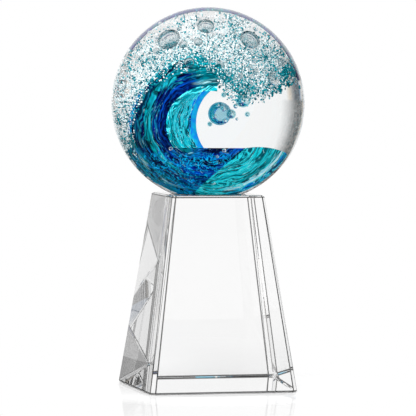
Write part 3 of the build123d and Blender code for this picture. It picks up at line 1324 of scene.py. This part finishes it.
@dataclass(frozen=True)
class Plinth:
    """The crystal block: the CAD plinth's own faces, with a thin arris bevelled along each edge in dark
    glass, a painted shade that draws dark lines along the edges.

    Where glass mirrors it, the crystal above the foot shows black instead of its reflection, a painted
    shade. The arris is in millimetres, and same_place, within which corners are one, is in metres.
    """

    arris: float = 0.3
    same_place: float = 1e-7
    flat_angle: float = radians(1)
    edge_angle: float = radians(4)
    # Painted shade: in other glass's mirrors the crystal turns black above the foot.
    crystal: ClearGlass = ClearGlass("plinth_crystal", CRYSTAL_IOR, grey(0.99), (0.012, 0.03))
    # Painted shade: the arris is dark glass, which draws dark lines along the edges.
    dark_arris_painted_shade: ClearGlass = ClearGlass("arris", CRYSTAL_IOR, grey(0.05))

    def build(self) -> None:
        """Join the node's triangles into its flat faces, then bevel every edge between them."""
        block = bmesh.new()
        block.from_mesh(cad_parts["plinth"].data)
        bmesh.ops.remove_doubles(block, verts=block.verts, dist=self.same_place)
        bmesh.ops.dissolve_limit(block, angle_limit=self.flat_angle, verts=block.verts, edges=block.edges)
        sharp = [edge for edge in block.edges if edge.calc_face_angle(0.0) > self.edge_angle]
        bmesh.ops.bevel(block, geom=sharp, offset=self.arris * MM, offset_type="OFFSET", segments=1,
                        profile=0.5, affect="EDGES", material=1)
        for face in block.faces:
            face.smooth = False
        data = bpy.data.meshes.new("plinth_block")
        block.to_mesh(data)
        block.free()
        for finish in (self.crystal, self.dark_arris_painted_shade):
            data.materials.append(finish.make())
        add_piece(data, ("plinth",))


@dataclass(frozen=True)
class Shade:
    """Light and shade round the stage by degrees turned from straight ahead, alike on both sides.

    Lift whitens a stretch of the right side, which fades in and out between the two spans, in radians.
    """

    stops: Stops
    lift: float = 0.0
    lift_start: Span = (0.3, 0.6)
    lift_end: Span = (2.0, 1.75)

    def colour(self, tree: Tree, turned: Socket) -> Socket:
        """The colour at a turn.

        Args:
            tree: The material's tree.
            turned: Radians turned to the right from straight ahead.

        Returns:
            The colour.
        """
        share = tree.math("DIVIDE", tree.math("ABSOLUTE", turned), pi)
        colour = tree.ramp(share, tuple((degrees / 180, colour) for degrees, colour in self.stops))
        if not self.lift:
            return colour
        stretch = tree.product(tree.fade(turned, *self.lift_start), tree.fade(turned, *self.lift_end))
        return tree.mix(tree.product(stretch, self.lift), colour, WHITE)


PLINTH_SHADE = Shade((
    (0, WHITE), (38, WHITE), (42, (0.80, 0.72, 0.62)), (46, grey(0.4)), (50, (0.18, 0.19, 0.21)),
    (58, (0.20, 0.21, 0.23)), (61, (0.30, 0.42, 0.60)), (63, grey(0.8)), (68.5, grey(0.9)),
    (69.2, (0.9, 0.75, 0.3)), (69.8, (0.5, 0.3, 0.5)), (70.6, grey(0.2)), (74.2, grey(0.25)),
    (74.8, (0.2, 0.3, 0.7)), (75.4, (0.5, 0.8, 0.7)), (76.0, grey(0.9)), (84, grey(0.85)), (90, grey(0.5)),
    (97, grey(0.9)), (128, grey(0.9)), (136, grey(0.12)), (180, grey(0.06)),
))
BALL_SHADE = Shade((
    (0, WHITE), (33, WHITE), (40, grey(0.72)), (46, grey(0.42)), (50, grey(0.27)), (57, grey(0.2)),
    (64, grey(0.26)), (69, (0.40, 0.36, 0.30)), (72, (0.75, 0.50, 0.25)), (74, (0.30, 0.40, 0.75)),
    (78, grey(0.22)), (84, grey(0.3)), (92, grey(0.25)), (97, grey(0.9)), (128, grey(0.9)),
    (134, grey(0.6)), (148, grey(0.25)), (154, (0.30, 0.36, 0.45)), (158, grey(0.7)),
    (164, (0.50, 0.46, 0.40)), (168, grey(0.3)), (174, grey(0.6)), (180, grey(0.3)),
), lift=0.7)


@dataclass(frozen=True)
class Softbox:
    """One large soft lamp at the front left, which glass doesn't show."""

    size: float = 0.4
    energy: float = 4.0
    place: Triple = (-0.2, -0.35, 0.42)
    target: Triple = (0.0, 0.0, 0.1)

    def build(self) -> None:
        """Hang the lamp and turn it to the ball's foot."""
        data = bpy.data.lights.new("softbox", "AREA")
        data.size = self.size
        data.energy = self.energy
        lamp = bpy.data.objects.new("softbox", data)
        lamp.visible_glossy = False
        lamp.visible_transmission = False
        lamp.location = self.place
        lamp.rotation_euler = (Vector(self.target) - lamp.location).to_track_quat("-Z", "Y").to_euler()
        bpy.context.scene.collection.objects.link(lamp)


@dataclass(frozen=True)
class Camera:
    """The photograph's camera: how far round, above and away from its target, its lens and its roll."""

    azimuth: float = radians(-14.05)
    elevation: float = radians(2.75)
    distance: float = 1.499
    target: Triple = (0.0, 0.0, 0.0742)
    lens: float = 313.06
    sensor: float = 36.0
    shift: float = 0.0011
    roll: float = radians(0.29)
    sees_to: float = 20.0

    def build(self) -> None:
        """Set up the camera and make it the scene's own."""
        target = Vector(self.target)
        data = bpy.data.cameras.new("camera")
        data.lens = self.lens
        data.sensor_width = self.sensor
        data.clip_end = self.sees_to
        data.shift_x = self.shift
        camera = bpy.data.objects.new("camera", data)
        level = cos(self.elevation)
        away = Vector((sin(self.azimuth) * level, -cos(self.azimuth) * level, sin(self.elevation)))
        camera.location = target + self.distance * away
        camera.rotation_euler = (target - camera.location).to_track_quat("-Z", "Y").to_euler()
        camera.rotation_euler.rotate_axis("Z", self.roll)
        bpy.context.scene.collection.objects.link(camera)
        bpy.context.scene.camera = camera


@dataclass(frozen=True)
class Studio:
    """Floor, wall of light, world, lamp and camera, in metres.

    What the ball only mirrors is nearly black: the world, the floor, and all of the wall but straight ahead.
    """

    radius: float = 0.5
    sides: int = 96
    ahead: float = radians(14.0)
    floor_z: float = -0.0002
    floor_colour: Colour = grey(0.8)
    floor_shade: Span = (0.12, 0.34)
    white_seen: Span = (0.046, 0.085)
    white_through: Span = (0.035, 0.10)
    sheen_fade: Span = (0.2, 0.06)
    sheen_share: float = 0.28
    wall_height: float = 0.8
    wall_z: float = 0.39
    ball_height: Span = (0.085, 0.10)
    mirrored_level: float = 0.03
    mirrored_aside: Span = (0.4, 0.65)
    room_light: Colour = grey(0.88)

    def build(self) -> None:
        """Set the whole stage, with enough bounces for glass inside glass."""
        cycles = bpy.context.scene.cycles
        cycles.max_bounces = 40
        cycles.transmission_bounces = 32
        cycles.glossy_bounces = 32
        cycles.transparent_max_bounces = 64
        cycles.caustics_refractive = False
        cycles.caustics_reflective = False
        self.floor()
        self.wall()
        self.world()
        Softbox().build()
        Camera().build()

    def turned(self, tree: Tree, place: Socket) -> Socket:
        """How far a place's heading is turned from straight ahead, to the right.

        Args:
            tree: The material's tree.
            place: The place.

        Returns:
            Radians, from minus pi to pi.
        """
        x, y, _ = tree.add("SeparateXYZ", Vector=place).outputs
        return tree.math("WRAP", tree.math("SUBTRACT", tree.math("ARCTAN2", x, y), self.ahead), pi, -pi)

    def floor(self) -> None:
        """A pale floor with a slight sheen that turns to plain white further out.

        Seen through glass, it takes the wall's shade further out still.
        """
        bpy.ops.mesh.primitive_circle_add(vertices=self.sides, radius=self.radius, fill_type="NGON",
                                          location=(0, 0, self.floor_z))
        floor = bpy.context.object
        material, tree = new_material("floor")
        path, place = tree.add("LightPath"), tree.place()
        direct, through = path.outputs["Is Camera Ray"], path.outputs["Is Transmission Ray"]
        mirrored = tree.mirrored(path)
        out = tree.add("VectorMath", {"operation": "LENGTH"}, i0=place).outputs["Value"]
        surface = tree.add("BsdfPrincipled", Base_Color=self.floor_colour, Roughness=0.3,
                           Specular_IOR_Level=0.0)
        shaded = tree.product(tree.fade(out, *self.floor_shade), through)
        colour = tree.mix(shaded, WHITE, BALL_SHADE.colour(tree, self.turned(tree, place)))
        strength = tree.math("MULTIPLY_ADD", mirrored, self.mirrored_level - 1.0, 1.0)
        white = tree.add("Emission", Color=colour, Strength=strength)
        share = tree.math("MAXIMUM", tree.product(tree.fade(out, *self.white_seen), direct),
                          tree.product(tree.fade(out, *self.white_through), through))
        share = tree.math("MAXIMUM", share, mirrored)
        mixed = tree.add("MixShader", i0=share, i1=surface.outputs[0], i2=white.outputs[0])
        sheen = tree.add("BsdfGlossy", Color=WHITE, Roughness=0.04)
        polished = tree.product(direct, tree.fade(out, *self.sheen_fade), self.sheen_share)
        mixed = tree.add("MixShader", i0=polished, i1=mixed.outputs[0], i2=sheen.outputs[0])
        tree.add("OutputMaterial", Surface=mixed.outputs[0])
        floor.data.materials.append(material)

    def wall(self) -> None:
        """A round wall of light that only glass sees: the plinth's shade low down and the ball's above."""
        bpy.ops.mesh.primitive_cylinder_add(vertices=self.sides, radius=self.radius, depth=self.wall_height,
                                            end_fill_type="NOTHING", location=(0, 0, self.wall_z))
        wall = bpy.context.object
        wall.name = "light_wall"
        material, tree = new_material("light_wall")
        place = tree.place()
        turned = self.turned(tree, place)
        high = tree.fade(tree.height(place), *(height - self.wall_z for height in self.ball_height))
        colour = tree.mix(high, PLINTH_SHADE.colour(tree, turned), BALL_SHADE.colour(tree, turned))
        aside = tree.fade(tree.math("ABSOLUTE", turned), *self.mirrored_aside)
        unseen = tree.product(tree.mirrored(tree.add("LightPath")), aside)
        colour = tree.mix(unseen, colour, grey(self.mirrored_level))
        light = tree.add("Emission", Color=colour, Strength=1.0)
        tree.add("OutputMaterial", Surface=light.outputs[0])
        wall.data.materials.append(material)
        wall.visible_camera = False
        wall.visible_diffuse = False
        wall.visible_shadow = False

    def world(self) -> None:
        """Plain light from all round, and white behind the object."""
        world = bpy.data.worlds.new("studio")
        bpy.context.scene.world = world
        world.use_nodes = True
        world.node_tree.nodes.clear()
        tree = Tree(world.node_tree)
        path = tree.add("LightPath")
        seen = tree.math("MAXIMUM", path.outputs["Is Camera Ray"], path.outputs["Is Transmission Ray"])
        colour = tree.mix(seen, self.room_light, WHITE)
        colour = tree.mix(tree.mirrored(path), colour, grey(self.mirrored_level))
        background = tree.add("Background", Color=colour, Strength=1.0)
        tree.add("OutputWorld", Surface=background.outputs[0])


# Rings from the hollow's wall outwards for CURL, LIP, DEEP and SWELL, and depths in millimetres for the rest
CURL: Stops = (
    (1.0, TEAL), (1.06, COBALT), (1.12, NAVY), (1.22, MIDNIGHT), (1.30, NAVY), (1.38, BLUE), (1.42, NAVY),
    (1.54, COBALT), (1.60, NAVY), (1.66, AQUA), (1.72, TEAL), (1.79, TURQUOISE), (1.84, NAVY),
    (1.92, MIDNIGHT), (1.98, DEEP_TEAL), (2.06, MIDNIGHT),
)
LIP: Stops = (
    (1.05, NAVY), (1.12, DEEP_TEAL), (1.2, TEAL), (1.28, PALE), (1.34, TEAL), (1.42, DEEP_TEAL),
    (1.5, TEAL), (1.6, TURQUOISE), (1.7, DEEP_TEAL), (1.8, AQUA), (1.9, TEAL),
)
FACE: Stops = (
    (-17.0, TEAL), (-13.0, TURQUOISE), (-6.0, AQUA), (1.0, TURQUOISE), (5.0, AQUA), (9.0, TURQUOISE),
    (13.0, AQUA), (16.0, CYAN), (17.5, AZURE), (19.0, BLUE),
)
DEEP: Stops = (
    (0.7, NAVY), (0.82, COBALT), (0.95, BLUE), (1.02, NAVY), (1.15, MIDNIGHT), (1.3, COBALT), (1.45, BLUE),
    (1.55, MIDNIGHT), (1.7, COBALT),
)
SWELL: Stops = (
    (0.9, TURQUOISE), (1.0, AQUA), (1.08, TEAL), (1.2, AQUA), (1.3, DEEP_TEAL), (1.36, TURQUOISE),
    (1.5, AQUA), (1.58, TEAL), (1.7, AQUA), (1.78, DEEP_TEAL), (1.84, TURQUOISE), (1.95, AQUA),
)
FAR_EDGE: Stops = (
    (-6.0, TURQUOISE), (-4.5, TEAL), (-3.0, PALE), (-1.5, TURQUOISE), (0.5, DEEP_TEAL), (2.0, AQUA),
    (3.5, TEAL), (5.0, TURQUOISE),
)
LOW_EDGE: Stops = (
    (-7.0, COBALT), (-5.5, NAVY), (-4.5, BLUE), (-3.5, CYAN), (-2.5, NAVY), (-1.0, COBALT), (1.0, CYAN),
    (3.0, COBALT),
)
SWELL_FOOT: Stops = (
    (-7.0, TURQUOISE), (-5.0, TEAL), (-3.5, AQUA), (-2.0, TEAL), (0.0, TURQUOISE), (2.0, DEEP_TEAL),
)
# Painted highlight: the pale and white streak with blue beside it paints a streak of light along the ball's
# lower right edge; the teal, cyan and blue around it are the glass's own.
SWELL_EDGE_AND_HIGHLIGHT: Stops = (
    (-7.0, TURQUOISE), (-4.6, TEAL), (-3.9, PALE), (-3.3, CYAN), (-2.8, (0.7, 0.95, 1.0)), (-1.6, PALE),
    (-0.9, CYAN), (1.0, BLUE), (3.0, CYAN),
)
# Each glass also gives out a painted light of its own colour, strongest on the face and the swell.
SEA = {
    "wave_face": SeaGlass(
        "turquoise_glass", Zone.DEPTH, FACE, 12.0, dark=(DEEP_TEAL, 0.9), light=((0.07, 0.74, 0.84), 0.95),
        glint=((0.6, 0.95, 1.0), 1.0), painted_glow=0.82),
    "wave_heart": SeaGlass(
        "navy_glass", Zone.RING, CURL, 0.22, dark=(INK, 0.95), light=(BLUE, 0.45), glint=(CYAN, 0.35),
        over=LIP, painted_glow=0.3),
    "wave_back": SeaGlass(
        "cobalt_glass", Zone.RING, CURL, 0.22, dark=(INK, 0.9), light=(CYAN, 0.45), over=LIP, edge=FAR_EDGE,
        painted_glow=0.3),
    "crest_lip": SeaGlass(
        "teal_glass", Zone.RING, LIP, 0.25, dark=(DEEP_TEAL, 0.85), light=(TURQUOISE, 0.6),
        glint=(PALE, 0.8), painted_glow=0.42),
    "trough": SeaGlass(
        "trough_glass", Zone.RING, DEEP, 0.2, dark=(INK, 0.95), light=(AZURE, 0.6),
        glint=((0.3, 0.8, 0.95), 0.7), veins=Veins((0.0, 0.52, 0.95)), left=CURL, edge=FAR_EDGE,
        low_edge=LOW_EDGE, painted_glow=0.5),
    "swell": SeaGlass(
        "swell_glass", Zone.RING, SWELL, 0.35, dark=(DEEP_TEAL, 0.9), light=((0.03, 0.62, 0.7), 0.95),
        edge=SWELL_FOOT, low_edge=SWELL_EDGE_AND_HIGHLIGHT, low_turn=(-1.95, -1.6), painted_glow=0.95),
}
# The third value of each cane is the painted light that it gives out.
CANES = {
    "face_rim": GrainGlass("azure_cane", ((0.35, AZURE), (0.65, CYAN)), 0.7),
    "crest_thread": GrainGlass("pale_cane", ((0.3, TURQUOISE), (0.7, PALE)), 0.3),
    "back_canes": GrainGlass("cyan_cane", ((0.3, COBALT), (0.7, CYAN)), 0.3),
    "crown_cane": GrainGlass(
        "navy_cane", ((0.42, (0.0, 0.012, 0.16)), (0.52, COBALT), (0.62, TEAL)), 0.05, 500.0),
}
BOND = TintedGlass("bond", WHITE, 0.0)
SPRAY_BLUE = TintedGlass("spray_blue", (0.0, 0.56, 0.70), 520.0, 1.45)


def main() -> None:
    """Dress every piece, fill the ball with its bubbles and foam, and set the stage."""
    bpy.context.scene.view_settings.view_transform = "Standard"
    ball = Ball.from_frame()
    effects = Effects(ball.centre_z)
    for name, finish in SEA.items():
        dress(name, finish.make(effects))
    for name, finish in CANES.items():
        dress(name, finish.make())
    Plinth().build()
    dress("bond_film", BOND.make())
    dress("spray_ring", SPRAY_BLUE.make())

    blown = BlownGlass(ball)
    foam = Foam(ball, Clearance(tuple(SEA) + tuple(CANES) + ("spray_ring",)))
    middle = foam.middle_bubbles(blown.fixed)
    kinds = foam.share_out(blown.fixed + middle, LARGE_BUBBLES)
    blown.build(middle, kinds[Kind.FINE])
    foam.build(kinds)
    Flecks(ball).build()

    Studio().build()


if __name__ == "__main__":
    main()
